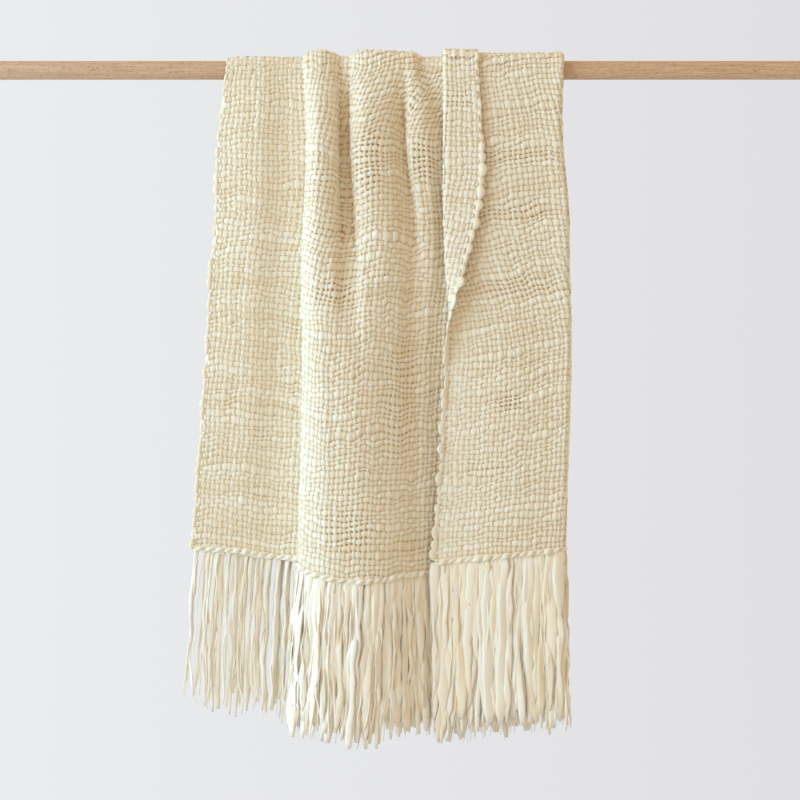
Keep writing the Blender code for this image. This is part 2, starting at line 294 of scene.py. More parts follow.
FRONT_DEPTHS = (0, 80, 200, 280, 370, 660)
FRONT_FOLDS = (
    # name, hem depth, then (along the rod, out from its axis) at each depth
    ("left_selvedge", 644, (-233, 17), (-243, 17), (-247, 18), (-254, 19), (-258, 20), (-278, 22)),
    ("panel_ridge", 648, (-186, 18), (-190, 22), (-194, 23), (-198, 23), (-200, 22), (-215, 20)),
    ("panel_hollow", 656, (-150, 17), (-150, 17), (-154, 17), (-157, 17), (-158, 17), (-170, 17)),
    ("fold_1_root", 660, (-131, 17), (-119, 17), (-116, 18), (-117, 18.5), (-117, 19), (-122, 20)),
    ("fold_1_lip", 668, (-128, 21), (-124, 26), (-128, 30), (-131, 32), (-129, 35), (-135, 38)),
    ("fold_1_crest", 680, (-109, 26.5), (-107, 40), (-110, 47), (-110, 51), (-108, 54), (-102, 59)),
    ("fold_1_flank", 684, (-88, 22), (-86, 32), (-88, 41), (-90, 51), (-88, 56), (-80, 61)),
    ("valley_1", 685, (-80, 17.5), (-80, 10), (-77, 20), (-75, 41), (-73, 56), (-68, 61)),
    ("valley_1_end", 686, (-69, 17.5), (-69, 10), (-64, 20), (-61, 41), (-60, 55), (-57, 61)),
    ("fold_2_edge", 686, (-64, 22), (-64, 29), (-54, 38), (-48, 49), (-48, 54), (-42, 59)),
    ("fold_2_crest", 684, (-46, 26.5), (-46, 39), (-37, 44), (-30, 48), (-30, 50), (-22, 54)),
    ("fold_2_slope", 680, (-16, 26), (-16, 31), (-10, 38), (-6, 41), (-6, 42), (0, 44)),
    ("valley_2", 678, (7, 24), (6, 12), (18, 17), (21, 25), (18, 28), (20, 33)),
    ("fold_3_ridge", 677, (14, 25), (13, 29), (30, 30), (37, 26), (33, 25), (34, 26)),
    ("fold_3_crest", 675, (22, 22), (28, 31), (41, 28), (46, 23), (43, 21), (42, 22)),
    ("fold_3_end", 673, (30, 17), (51, 20), (53, 20), (54, 19), (52, 18.5), (50, 19)),
    ("inner_start", 672, (40, 17), (58, 17), (60, 18), (60, 18), (58, 18), (58, 18)),
    ("inner_middle", 664, (138, 17), (138, 17), (140, 17), (140, 17), (140, 18), (136, 17)),
    ("inner_right", 650, (204, 17), (202, 17), (211, 17), (212, 17), (213, 17), (205, 17)),
    ("right_fold_in", 646, (215, 17), (213, 17), (222, 17.5), (223, 17.5), (225, 17.5), (217, 18)),
    ("right_fold", 644, (219, 20.5), (217, 21), (226, 22), (227, 22), (229, 22.5), (221, 23.5)),
    ("right_fold_out", 645, (214, 24.2), (211, 25), (220, 27), (221, 27.5), (223, 28), (214, 29)),
    ("outer_right", 648, (200, 22.5), (196, 24), (204, 26.5), (205, 27.5), (206, 28), (196, 30)),
    ("outer_middle", 655, (136, 22.5), (136, 25), (140, 29), (140, 30), (140, 31), (133, 34)),
    ("outer_left", 660, (80, 22.5), (82, 24), (84, 27), (85, 28.5), (86, 29.5), (74, 31)),
)
FRONT_FLAP = (
    # depth, start of the turn, out from the axis, turn radius, degrees, flap length
    (0, 61, 22.5, 2.8, 180, 44),
    (80, 62, 24, 3.6, 180, 48),
    (200, 63, 27, 4.6, 178, 40),
    (270, 66, 28, 5.2, 170, 20),
    (330, 71, 29, 6, 110, 6),
    (400, 68, 30, 8, 30, 3),
    (660, 51, 31, 10, 15, 3),
)

BACK_DEPTHS = (0, 140, 380, 660)
BACK_FOLDS = (
    ("left_selvedge", 652, (-233, 17), (-240, 18), (-250, 20), (-264, 24)),
    ("panel_ridge", 655, (-186, 18), (-188, 24), (-192, 28), (-203, 26)),
    ("panel_hollow", 660, (-150, 17), (-150, 17), (-154, 18), (-163, 20)),
    ("fold_1_root", 664, (-131, 17), (-124, 17), (-122, 20), (-128, 22)),
    ("fold_1_lip", 668, (-128, 21), (-124, 29), (-119, 34), (-122, 34)),
    ("fold_1_crest", 676, (-109, 26.5), (-106, 42), (-98, 50), (-96, 50)),
    ("fold_1_flank", 677, (-88, 22), (-84, 34), (-75, 44), (-72, 47)),
    ("valley_1", 676, (-80, 17.5), (-76, 18), (-67, 26), (-61, 36)),
    ("valley_1_end", 677, (-69, 17.5), (-66, 18), (-58, 26), (-52, 34)),
    ("fold_2_edge", 678, (-64, 22), (-58, 30), (-48, 36), (-41, 40)),
    ("fold_2_crest", 680, (-46, 26.5), (-42, 40), (-33, 46), (-26, 46)),
    ("fold_2_slope", 676, (-16, 26), (-14, 32), (-8, 38), (-2, 38)),
    ("valley_2", 672, (7, 24), (9, 19), (13, 25), (18, 27)),
    ("fold_3_ridge", 671, (14, 25), (18, 26), (25, 29), (30, 28)),
    ("fold_3_crest", 670, (22, 22), (32, 26), (38, 26), (42, 24)),
    ("fold_3_end", 669, (30, 17), (46, 18), (50, 18), (52, 18)),
    ("inner_start", 668, (40, 17), (56, 17), (58, 17), (60, 17)),
    ("inner_middle", 660, (138, 17), (138, 17), (138, 18), (136, 18)),
    ("inner_right", 655, (204, 17), (205, 17), (208, 17), (203, 18)),
    ("right_fold_in", 653, (215, 17), (216, 17.5), (219, 18), (215, 19)),
    ("right_fold", 652, (219, 20.5), (220, 21.5), (223, 23), (220, 25)),
    ("right_fold_out", 652, (214, 24.2), (214, 26), (216, 28.5), (213, 31)),
    ("outer_right", 655, (200, 22.5), (198, 25), (199, 28), (196, 31)),
    ("outer_middle", 660, (136, 22.5), (136, 27), (134, 31), (131, 33)),
    ("outer_left", 664, (80, 22.5), (82, 26), (82, 30), (80, 31)),
)
BACK_FLAP = (
    (0, 61, 22.5, 2.8, 180, 44),
    (140, 62, 26, 4, 180, 42),
    (380, 63, 30, 4.8, 176, 36),
    (660, 62, 31, 5.5, 172, 30),
)
FLAP_TURN_STEPS = 5
FLAP_HEM = 662
print(len(FRONT_FOLDS), "folds at", len(FRONT_DEPTHS), "depths in front,",
      len(BACK_DEPTHS), "behind")

# %% [markdown]
# Between two knots of a curve the cloth never leaves the range of their values, so a
# stretch that rests on the rod stays on it. The slopes at the knots are limited for
# that, as in a monotone spline.

# %% Section curves
STEEPEST = 3
FINE_STEPS = 3


def smooth_through(knots, values, at):
    """Values at given places on a smooth curve that passes through the knots."""
    knots, values, at = (np.asarray(a, float) for a in (knots, values, at))
    shape = (-1,) + (1,) * (values.ndim - 1)
    span = np.diff(knots)
    slope = np.diff(values, axis=0) / span.reshape(shape)
    before, after = slope[:-1], slope[1:]
    limit = STEEPEST * np.minimum(abs(before), abs(after))
    middle = np.where(before * after > 0, np.clip((before + after) / 2, -limit, limit), 0)
    tangent = np.concatenate((slope[:1], middle, slope[-1:]))
    left = np.clip(np.searchsorted(knots, at, side="right") - 1, 0, len(span) - 1)
    width = span[left].reshape(shape)
    t = ((at - knots[left]) / span[left]).reshape(shape)
    rise = values[left + 1] - values[left]
    start = tangent[left] * width
    end = tangent[left + 1] * width
    square = t * t * (3 * rise - 2 * start - end)
    cube = t ** 3 * (start + end - 2 * rise)
    return values[left] + t * start + square + cube


def flap_points(start, out, radius, degrees, length):
    """Turn of the cloth from its run to the left, then the straight flap after it."""
    angles = np.radians(degrees) * np.arange(FLAP_TURN_STEPS + 1) / FLAP_TURN_STEPS
    turn = np.stack((start - radius * np.sin(angles), out + radius * (1 - np.cos(angles))), 1)
    last = turn[-1] + length * np.array((-math.cos(angles[-1]), math.sin(angles[-1])))
    return np.vstack((turn, last))


def section(depths, folds, flap, depth, columns):
    """One section: along the rod, out from its axis and hem depth at even columns."""
    tracks = [smooth_through(depths, fold[2:], [depth])[0] for fold in folds]
    turn = smooth_through([row[0] for row in flap], [row[1:] for row in flap], [depth])[0]
    points = np.vstack((tracks, flap_points(*turn)))
    hems = [fold[1] for fold in folds] + [FLAP_HEM] * (FLAP_TURN_STEPS + 2)
    lengths = np.linalg.norm(np.diff(points, axis=0), axis=1)
    knots = np.concatenate(([0], np.cumsum(lengths)))
    fine = np.linspace(0, knots[-1], FINE_STEPS * columns)
    curve = smooth_through(knots, points, fine)
    run = np.concatenate(([0], np.cumsum(np.linalg.norm(np.diff(curve, axis=0), axis=1))))
    even = np.linspace(0, run[-1], columns)
    place = np.interp(even, run, fine)
    return np.column_stack((smooth_through(knots, points, place), np.interp(place, knots, hems)))


print("each section has", len(FRONT_FOLDS) + FLAP_TURN_STEPS + 2, "knots")

# %% [markdown]
# The sections are stacked into one fine grid that covers the whole cloth, from the
# front hem up over the rod and down to the back hem. The grid isn't a piece itself. It
# is the surface that everything woven is laid on, read by two numbers: u runs across
# the cloth from one selvedge to the other, and run is the length from the front hem.

# %% The cloth's middle surface
COLUMNS = 801
DROP_ROWS = 61
WRAP_ROWS = 17
CLOTH_RUN = 2 * REST_ROWS + WRAP_RUN


def cloth_surface():
    """Grid of points in metres and the run of each of its rows in millimetres."""
    rows = []
    runs = []
    front_hem = section(FRONT_DEPTHS, FRONT_FOLDS, FRONT_FLAP, REST_ROWS, COLUMNS)[:, 2]
    back_hem = section(BACK_DEPTHS, BACK_FOLDS, BACK_FLAP, REST_ROWS, COLUMNS)[:, 2]
    for share in np.linspace(1, 0, DROP_ROWS):
        x, out, _ = section(FRONT_DEPTHS, FRONT_FOLDS, FRONT_FLAP, share * REST_ROWS, COLUMNS).T
        rows.append(np.column_stack((x, -out, -share * front_hem)))
        runs.append((1 - share) * REST_ROWS)
    x, out, _ = section(FRONT_DEPTHS, FRONT_FOLDS, FRONT_FLAP, 0, COLUMNS).T
    for step in range(1, WRAP_ROWS - 1):
        angle = math.pi * step / (WRAP_ROWS - 1)
        rows.append(np.column_stack((x, -out * math.cos(angle), out * math.sin(angle))))
        runs.append(REST_ROWS + WRAP_RUN * step / (WRAP_ROWS - 1))
    for share in np.linspace(0, 1, DROP_ROWS):
        x, out, _ = section(BACK_DEPTHS, BACK_FOLDS, BACK_FLAP, share * REST_ROWS, COLUMNS).T
        rows.append(np.column_stack((x, out, -share * back_hem)))
        runs.append(REST_ROWS + WRAP_RUN + share * REST_ROWS)
    surface = np.array(rows) * MM
    surface[:, :, 0] += ROD_MIDDLE
    return surface, np.array(runs)


surface, surface_runs = cloth_surface()
across = np.gradient(surface, axis=1)
along = np.gradient(surface, axis=0)
across /= np.linalg.norm(across, axis=2, keepdims=True)
along /= np.linalg.norm(along, axis=2, keepdims=True)
facing = np.cross(across, along)
facing /= np.linalg.norm(facing, axis=2, keepdims=True)
widths = np.linalg.norm(np.diff(surface, axis=1), axis=2).sum(axis=1)
CLOTH_WIDTH = float(widths.mean())
print("cloth width", widths.min().round(3), "to", widths.max().round(3), "m")


def on_cloth(field, u, run):
    """Read a grid of the cloth at u from 0 to 1 and run in millimetres."""
    column = np.clip(u, 0, 1) * (COLUMNS - 1)
    row = np.interp(run, surface_runs, np.arange(len(surface_runs)))
    c = np.minimum(column.astype(int), COLUMNS - 2)
    r = np.minimum(row.astype(int), len(surface_runs) - 2)
    fc = (column - c)[..., None]
    fr = (row - r)[..., None]
    near = field[r, c] * (1 - fc) + field[r, c + 1] * fc
    far = field[r + 1, c] * (1 - fc) + field[r + 1, c + 1] * fc
    return near * (1 - fr) + far * fr

# %% [markdown]
# Hand-spun yarn is never even. Slow random waves make it thick and thin, and let the
# threads wander, so that some patches close up and others open into small holes. The
# waves are random numbers on a coarse grid with smooth blends between them, from one
# seeded generator, so that each run gives the same cloth.

# %% Slow random waves
chance = np.random.default_rng(20)
WAVE_MARGIN = 4
PATCH_MARGIN = 5


def eased(t):
    """Blend from 0 to 1 that starts and ends level."""
    return t * t * (3 - 2 * t)


def slow_wave(at, cell):
    """Smooth random wave in one dimension, about -1 to 1."""
    place = np.asarray(at, float) / cell
    low = int(np.floor(place.min())) - 1
    values = chance.uniform(-1, 1, int(place.max()) - low + WAVE_MARGIN)
    i = np.floor(place).astype(int)
    t = eased(place - i)
    return values[i - low] * (1 - t) + values[i - low + 1] * t


def slow_waves(lines, at, cell):
    """One slow wave of its own for each of many lines, at the same places."""
    return np.stack([slow_wave(at + chance.uniform(0, cell), cell) for _ in range(lines)])


def added_waves(lines, at, waves):
    """Sum of slow waves, each given as its amount and its cell."""
    return sum(amount * slow_waves(lines, at, cell) for amount, cell in waves)


def patches(u_mm, run_mm, cell_u, cell_run):
    """Smooth random patches over the cloth, about -1 to 1."""
    rows = int(CLOTH_RUN / cell_run) + PATCH_MARGIN
    columns = int(1000 * CLOTH_WIDTH / cell_u) + PATCH_MARGIN
    values = chance.uniform(-1, 1, (rows, columns))
    x = u_mm / cell_u + 1
    y = run_mm / cell_run + 1
    i = np.clip(np.floor(y).astype(int), 0, rows - 2)
    j = np.clip(np.floor(x).astype(int), 0, columns - 2)
    s = eased(x - j)
    t = eased(y - i)
    top = values[i, j] * (1 - s) + values[i, j + 1] * s
    bottom = values[i + 1, j] * (1 - s) + values[i + 1, j + 1] * s
    return top * (1 - t) + bottom * t

# %% [markdown]
# Every yarn is a closed tube: four-cornered in the weave, rounder in the loose strands.
# All tubes of a piece are worked out at once as arrays, because there are hundreds of
# yarns with hundreds of rings each, and Blender takes the arrays as one joined mesh.

# %% Tubes from arrays
def tube_mesh(name, corners, tone):
    """Joined closed tubes. corners runs over yarns, rings and the ring's corners."""
    yarns, rings, sides = corners.shape[:3]
    start = (np.arange(yarns) * rings * sides)[:, None, None]
    r = np.arange(rings - 1)[None, :, None] * sides
    k = np.arange(sides)[None, None, :]
    following = (k + 1) % sides
    walls = np.stack((start + r + k, start + r + following,
                      start + r + sides + following, start + r + sides + k), -1)
    first = start[:, 0] + np.arange(sides)[None, ::-1]
    last = start[:, 0] + (rings - 1) * sides + np.arange(sides)[None]
    mesh = bpy.data.meshes.new(name)
    order = np.concatenate((walls.ravel(), first.ravel(), last.ravel()))
    sizes = np.concatenate((np.full(walls.size // 4, 4), np.full(2 * yarns, sides)))
    mesh.vertices.add(corners.size // 3)
    mesh.vertices.foreach_set("co", corners.ravel())
    mesh.loops.add(len(order))
    mesh.loops.foreach_set("vertex_index", order)
    mesh.polygons.add(len(sizes))
    mesh.polygons.foreach_set("loop_start", np.concatenate(([0], np.cumsum(sizes)[:-1])))
    mesh.update(calc_edges=True)
    mesh.shade_smooth()
    shade = mesh.attributes.new("tone", "FLOAT", "POINT")
    tone = tone if tone.ndim == 3 else np.repeat(tone[..., None], sides, axis=2)
    shade.data.foreach_set("value", tone.ravel().astype(np.float32))
    return mesh


def round_rings(centres, outward, half_width, half_height, sides):
    """Corners of oval rings around strands, square to each strand's own run."""
    forward = np.gradient(centres, axis=1)
    sideways = np.cross(forward, outward)
    sideways /= np.linalg.norm(sideways, axis=2, keepdims=True)
    turn = 2 * np.pi * np.arange(sides) / sides
    across_ring = np.cos(turn)[:, None] * sideways[:, :, None] * half_width[..., None, None]
    out_ring = np.sin(turn)[:, None] * outward[:, :, None] * half_height[..., None, None]
    return centres[:, :, None] + across_ring + out_ring


def outward_facing(mesh):
    """Turn all faces round if the closed mesh is inside out."""
    mesh.calc_loop_triangles()
    points = np.empty(len(mesh.vertices) * 3)
    mesh.vertices.foreach_get("co", points)
    corners = np.empty(len(mesh.loop_triangles) * 3, int)
    mesh.loop_triangles.foreach_get("vertices", corners)
    a, b, c = points.reshape(-1, 3)[corners.reshape(-1, 3)].transpose(1, 0, 2)
    volume = np.einsum("ij,ij->i", a, np.cross(b, c)).sum() / 6
    if volume < 0:
        mesh.flip_normals()
    return abs(volume)


def add_piece(mesh, material):
    """Link a finished mesh as a piece of the blanket."""
    volume = outward_facing(mesh)
    piece = bpy.data.objects.new(mesh.name, mesh)
    bpy.context.scene.collection.objects.link(piece)
    mesh.materials.append(material)
    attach(piece, "root")
    print(piece.name, len(mesh.loop_triangles), "triangles", round(volume * 1e6), "cm3")
    return piece

# %% [markdown]
# The weave is a plain one: each weft passes over one warp and under the next, and the
# next weft does the opposite. The warps lie about 6.5 mm apart and the wefts 7.4 mm,
# and the plump yarns fill that space, so every crossing shows as one soft bead. Both
# are thick and thin along their length. A thick stretch pushes its neighbours aside, so
# the places of all yarns are summed up from their thicknesses. Where the cloth is pulled
# askew over the rod, the rows slant: down to the right on the first fold, up to the
# right on the second fold and on the right part.

# %% Weave sizes
WARP_PITCH = 6.5
WEFT_PITCH = 7.4
WARP_HALF_HEIGHT = 0.0009
WARP_RISE = 0.0004
WEFT_HALF_HEIGHT = 0.0013
WEFT_RISE = 0.0006
WARP_UNEVENNESS = 0.24
WEFT_UNEVENNESS = 0.48
YARN_WAVES = ((1, 34), (0.6, 11))
YARN_SPREAD = 0.35
WARP_WINDOW = 4
WEFT_WINDOW = 5
SLANT_REACH = 260
ROW_SLANT = (
    # u, how far up the rows are pushed there in mm
    (0, 0), (0.17, 0), (0.25, -8), (0.30, -8), (0.36, 6), (0.41, 6), (0.43, 0),
    (0.48, 4), (0.70, 14), (0.75, 14), (0.93, -10), (1, -12))

warp_count = round(1000 * CLOTH_WIDTH / WARP_PITCH)
weft_count = round(CLOTH_RUN / WEFT_PITCH)
print(warp_count, "warps", weft_count, "wefts")


def thick_and_thin(yarns, crossings, pitch, amount):
    """Relative thickness of each yarn at each crossing, slow and quick waves together."""
    at = np.arange(crossings) * pitch
    waves = added_waves(yarns, at, YARN_WAVES)
    waves += YARN_SPREAD * chance.uniform(-1, 1, (yarns, 1))
    return np.exp(amount * waves)


def even_out(thickness, window):
    """Divide by the mean over neighbouring yarns, so that no drift builds up."""
    reach = np.arange(-2 * window, 2 * window + 1)
    weight = np.exp(-0.5 * (reach / window) ** 2)
    padded = np.pad(thickness, ((2 * window, 2 * window), (0, 0)), mode="reflect")
    mean = sum(w * padded[2 * window + r:2 * window + r + len(thickness)]
               for w, r in zip(weight, reach)) / weight.sum()
    return thickness / mean


def packed_places(thickness):
    """Middle of each yarn and its share of the whole, from 0 to 1, at each crossing."""
    total = thickness.sum(axis=0, keepdims=True)
    end = np.cumsum(thickness, axis=0)
    return (end - thickness / 2) / total, thickness / total


weft_size = even_out(
    thick_and_thin(weft_count, warp_count, WARP_PITCH, WEFT_UNEVENNESS), WEFT_WINDOW)
warp_size = even_out(
    thick_and_thin(warp_count, weft_count, WEFT_PITCH, WARP_UNEVENNESS), WARP_WINDOW)
weft_place, weft_share = packed_places(weft_size)
warp_place, warp_share = packed_places(warp_size)
crossing_u = warp_place.T
crossing_run = weft_place * CLOTH_RUN
from_hem = np.clip(np.minimum(crossing_run, CLOTH_RUN - crossing_run) / SLANT_REACH, 0, 1)
slant = np.interp(crossing_u, *zip(*ROW_SLANT))
crossing_run = crossing_run + slant * np.sin(np.pi / 2 * from_hem)
warp_half = warp_share.T * CLOTH_WIDTH / 2
weft_half = weft_share * CLOTH_RUN * MM / 2
print("warp", (warp_half.min() * 2e3).round(1), "to", (warp_half.max() * 2e3).round(1), "mm")
print("weft", (weft_half.min() * 2e3).round(1), "to", (weft_half.max() * 2e3).round(1), "mm")

# %% [markdown]
# In a few patches the yarns are thinner than their spacing, and small holes show in
# rows there. The clearest patches have the places that they have on the real cloth,
# found by looking for the outermost point of its front at that spot. Weaker ones are
# spread at random.

# %% Open patches
PICTURE_SIZE = 800
METRES_A_PIXEL = PICTURE_WIDTH / PICTURE_SIZE
OPEN_PATCHES = (
    # pixel across, pixel down, half width, half height, how open
    (512, 402, 14, 9, 1.0),
    (460, 100, 14, 10, 0.5),
    (420, 160, 12, 22, 0.7),
    (368, 160, 16, 30, 0.6),
    (520, 160, 40, 10, 0.5),
    (515, 215, 40, 9, 0.5),
    (520, 285, 38, 9, 0.5),
    (340, 300, 22, 12, 0.6),
    (345, 525, 26, 20, 0.5),
    (405, 400, 18, 60, 0.4),
    (480, 470, 24, 8, 0.4),
)
PATCH_REACH = 1.6
RANDOM_PATCH = (40, 26)
RANDOM_OPEN = 0.45
RANDOM_LIMIT = 0.35
SAME_SPOT = 0.004


def cloth_at_pixel(x, y):
    """u and run of the outermost point of the cloth's front at a spot of the picture."""
    wanted_x = ROD_MIDDLE + (x - PICTURE_SIZE / 2) * METRES_A_PIXEL
    wanted_z = PICTURE_MIDDLE_Z - (y - PICTURE_SIZE / 2) * METRES_A_PIXEL
    front = surface[:DROP_ROWS]
    miss = np.hypot(front[..., 0] - wanted_x, front[..., 2] - wanted_z)
    close = miss < miss.min() + SAME_SPOT
    row, column = np.unravel_index(np.where(close, front[..., 1], np.inf).argmin(), miss.shape)
    return column / (COLUMNS - 1), surface_runs[row]


def openness(u, run):
    """How open the weave is, from 0 to 1."""
    u_mm = u * 1000 * CLOTH_WIDTH
    above_limit = np.clip(patches(u_mm, run, *RANDOM_PATCH) - RANDOM_LIMIT, 0, 1)
    amount = RANDOM_OPEN * above_limit / (1 - RANDOM_LIMIT)
    for x, y, half_width, half_height, strength in OPEN_PATCHES:
        centre_u, centre_run = cloth_at_pixel(x, y)
        reach_u = half_width * METRES_A_PIXEL / CLOTH_WIDTH
        reach_run = half_height * METRES_A_PIXEL / MM
        far = ((u - centre_u) / reach_u) ** 2 + ((run - centre_run) / reach_run) ** 2
        amount = np.maximum(amount, strength * np.clip(PATCH_REACH - far, 0, 1))
    return amount


clearest_u, clearest_run = cloth_at_pixel(*OPEN_PATCHES[0][:2])
print("clearest patch at u", round(clearest_u, 3), "run", round(clearest_run), "mm")

# %% [markdown]
# Along the turned edge it is the opposite: handling has felted the yarns there, so they
# are wider, flatter and hardly marked off from each other, with less painted shade
# between them. The left panel hangs smooth, and its yarns lie flatter and closer in tone
# too, with less painted shade between them; the whole panel's tone is lowered instead,
# as painted shade.

# %% Felted edge and smooth panel
WARP_FILL = 1.0
WEFT_FILL = 1.2
OPEN_FILL = 0.79
FELTED_FILL = 0.12
FELTED_REACH = 0.05
FELTED_FLATTER = 0.5
FELTED_SHADE_KEPT = 0.2
SMOOTH_PANEL = (0.12, 0.2)
PANEL_FLATTER = 0.3
PANEL_SHADE_KEPT = 0.4
PANEL_PAINTED_SHADE = 0.15


def felted(u):
    """How matted the yarns are towards the turned edge, from 0 to 1."""
    return np.clip(1 - (1 - u) * CLOTH_WIDTH / FELTED_REACH, 0, 1)


def smooth_panel(u):
    """1 on the smooth left panel, falling to 0 at the foot of the first fold."""
    return np.interp(u, SMOOTH_PANEL, (1, 0))


open_here = openness(crossing_u, crossing_run)
matted = FELTED_FILL * felted(crossing_u)
warp_half *= WARP_FILL + (OPEN_FILL - WARP_FILL) * open_here + matted
weft_half *= WEFT_FILL + (OPEN_FILL - WEFT_FILL) * open_here + matted
print("open weave on", round(100 * float((open_here > 0).mean())), "% of the crossings")

# %% [markdown]
# Each yarn gets a ring on every crossing, lifted or lowered and wide, and a pinched ring
# halfway to the next crossing, where it dives. So each crossing is one plump bead. The
# section is a trapezium whose narrow side is on the bead's top, so beads look round on
# both faces of the cloth. The rows stand out more than the columns, since the plump
# wefts lie in soft ridges and the warps dive between them. Shade is painted into the
# tone, towards the darker, warmer cream: it is lowered where a yarn dives, much more for
# warps than for wefts, and on the corners of each bead that lie on the hidden face.

# %% Laying the yarns
TOP_WIDTH = 0.62
BASE_HEIGHT = 0.35
WARP_PINCHED = 0.82
WEFT_PINCHED = 0.86
PINCHED_SIDE = 0.8
PINCHED_HEIGHT = 0.62
WARP_DIVE_SHADE = 0.4
WEFT_DIVE_SHADE = 0.08
HIDDEN_FACE_SHADE = 0.36
PLUMP_POWER = 0.6
MEAN_TONE = 0.7
YARN_TONE = 0.12
SLOW_TONE = (0.15, 60)


def with_halfway_rings(field):
    """Values on the crossings and halfway between them, along the second axis."""
    rings = np.empty((len(field), 2 * field.shape[1] - 1))
    rings[:, ::2] = field
    rings[:, 1::2] = (field[:, 1:] + field[:, :-1]) / 2
    return rings


def woven_mesh(name, u, run, over, sideways_field, half_width, tone, half_height, rise,
               dive_shade, pinched):
    """Joined yarns; over is 1 where a crossing is on the outer face and -1 below."""
    u, run, half_width, over, tone = (
        with_halfway_rings(a) for a in (u, run, half_width, over, tone))
    half_width[:, 1::2] *= pinched
    normal = on_cloth(facing, u, run)
    side = on_cloth(sideways_field, u, run)
    flatter = 1 - PANEL_FLATTER * smooth_panel(u)
    centre = on_cloth(surface, u, run) + normal * (over * rise * flatter)[..., None]
    flatter = flatter * (1 - FELTED_FLATTER * felted(u))
    plump = half_height * (half_width / half_width.mean()) ** PLUMP_POWER * flatter
    below_between_above = np.sign(over).astype(int) + 1
    top_width = np.choose(below_between_above, (1, PINCHED_SIDE, TOP_WIDTH)) * half_width
    low_width = np.choose(below_between_above, (TOP_WIDTH, PINCHED_SIDE, 1)) * half_width
    top_height = np.choose(below_between_above, (BASE_HEIGHT, PINCHED_HEIGHT, 1)) * plump
    low_height = np.choose(below_between_above, (1, PINCHED_HEIGHT, BASE_HEIGHT)) * plump
    corners = [centre + side * (s * w)[..., None] + normal * (t * h)[..., None]
               for s, w, t, h in (
                   (1, top_width, 1, top_height), (-1, top_width, 1, top_height),
                   (-1, low_width, -1, low_height), (1, low_width, -1, low_height))]
    shown = np.stack((over > 0, over > 0, over < 0, over < 0), axis=2)
    # painted shade: the halfway rings and the corners on the hidden face get a lower tone
    darker = np.where(over[..., None] == 0, dive_shade, HIDDEN_FACE_SHADE * ~shown)
    darker = darker * (1 - (1 - FELTED_SHADE_KEPT) * felted(u)[..., None])
    darker = darker * (1 - (1 - PANEL_SHADE_KEPT) * smooth_panel(u)[..., None])
    # painted shade: the smooth left panel is made a little darker all over
    darker = darker + PANEL_PAINTED_SHADE * smooth_panel(u)[..., None]
    return tube_mesh(name, np.stack(corners, axis=2), tone[..., None] - darker)


def tones(yarns, crossings, pitch):
    """Tone of each yarn at each crossing, from 0, darker, to 1, lighter."""
    slow = slow_waves(yarns, np.arange(crossings) * pitch, SLOW_TONE[1])
    return MEAN_TONE + YARN_TONE * chance.uniform(-1, 1, (yarns, 1)) + SLOW_TONE[0] * slow


weft_number, warp_number = np.meshgrid(np.arange(weft_count), np.arange(warp_count), indexing="ij")
weft_over = np.where((weft_number + warp_number) % 2 == 0, 1, -1)
warp_tone = tones(warp_count, weft_count, WEFT_PITCH)
weft_tone = tones(weft_count, warp_count, WARP_PITCH)
print("tone from", round(float(weft_tone.min()), 2), "to", round(float(weft_tone.max()), 2))

# %% [markdown]
# Warps run the whole length, from one hem over the rod to the other, and wefts from
# one selvedge to the other. Neighbouring yarns are joined into three pieces each way.

# %% Warps and wefts
WEAVE_PARTS = 3

for number, group in enumerate(np.array_split(np.arange(warp_count), WEAVE_PARTS)):
    mesh = woven_mesh(
        f"warp_{number + 1}", crossing_u.T[group], crossing_run.T[group],
        -weft_over.T[group], across, warp_half.T[group], warp_tone[group],
        WARP_HALF_HEIGHT, WARP_RISE, WARP_DIVE_SHADE, WARP_PINCHED)
    add_piece(mesh, yarn_wool)
for number, group in enumerate(np.array_split(np.arange(weft_count), WEAVE_PARTS)):
    mesh = woven_mesh(
        f"weft_{number + 1}", crossing_u[group], crossing_run[group],
        weft_over[group], along, weft_half[group], weft_tone[group],
        WEFT_HALF_HEIGHT, WEFT_RISE, WEFT_DIVE_SHADE, WEFT_PINCHED)
    add_piece(mesh, yarn_wool)

# %% [markdown]
# Between the yarns of fulled wool hangs a thin web of felted fuzz. It closes the cloth
# and is the sheet that the yarns go with. Its colour is painted shade: the tan of wool in
# shade where the yarns lie close, and deeper where the small holes are, for the shade
# seen through them. Its rows lie closer together towards the rod, where the folds bend
# most, and where the flap runs out.

# %% Felted web
WEB_THICKNESS = 0.0005
WEB_EDGE = 3
WEB_DROP_ROWS = 44
WEB_ROD_ROWS = 11
WEB_ROW_POWER = 1.6
WEB_TONE = 0.6
WEB_HOLE_PAINTED_SHADE = 0.55
WEB_OPEN_GAIN = 1.6
FLAP_END_RUNS = np.linspace(230, 340, 12)


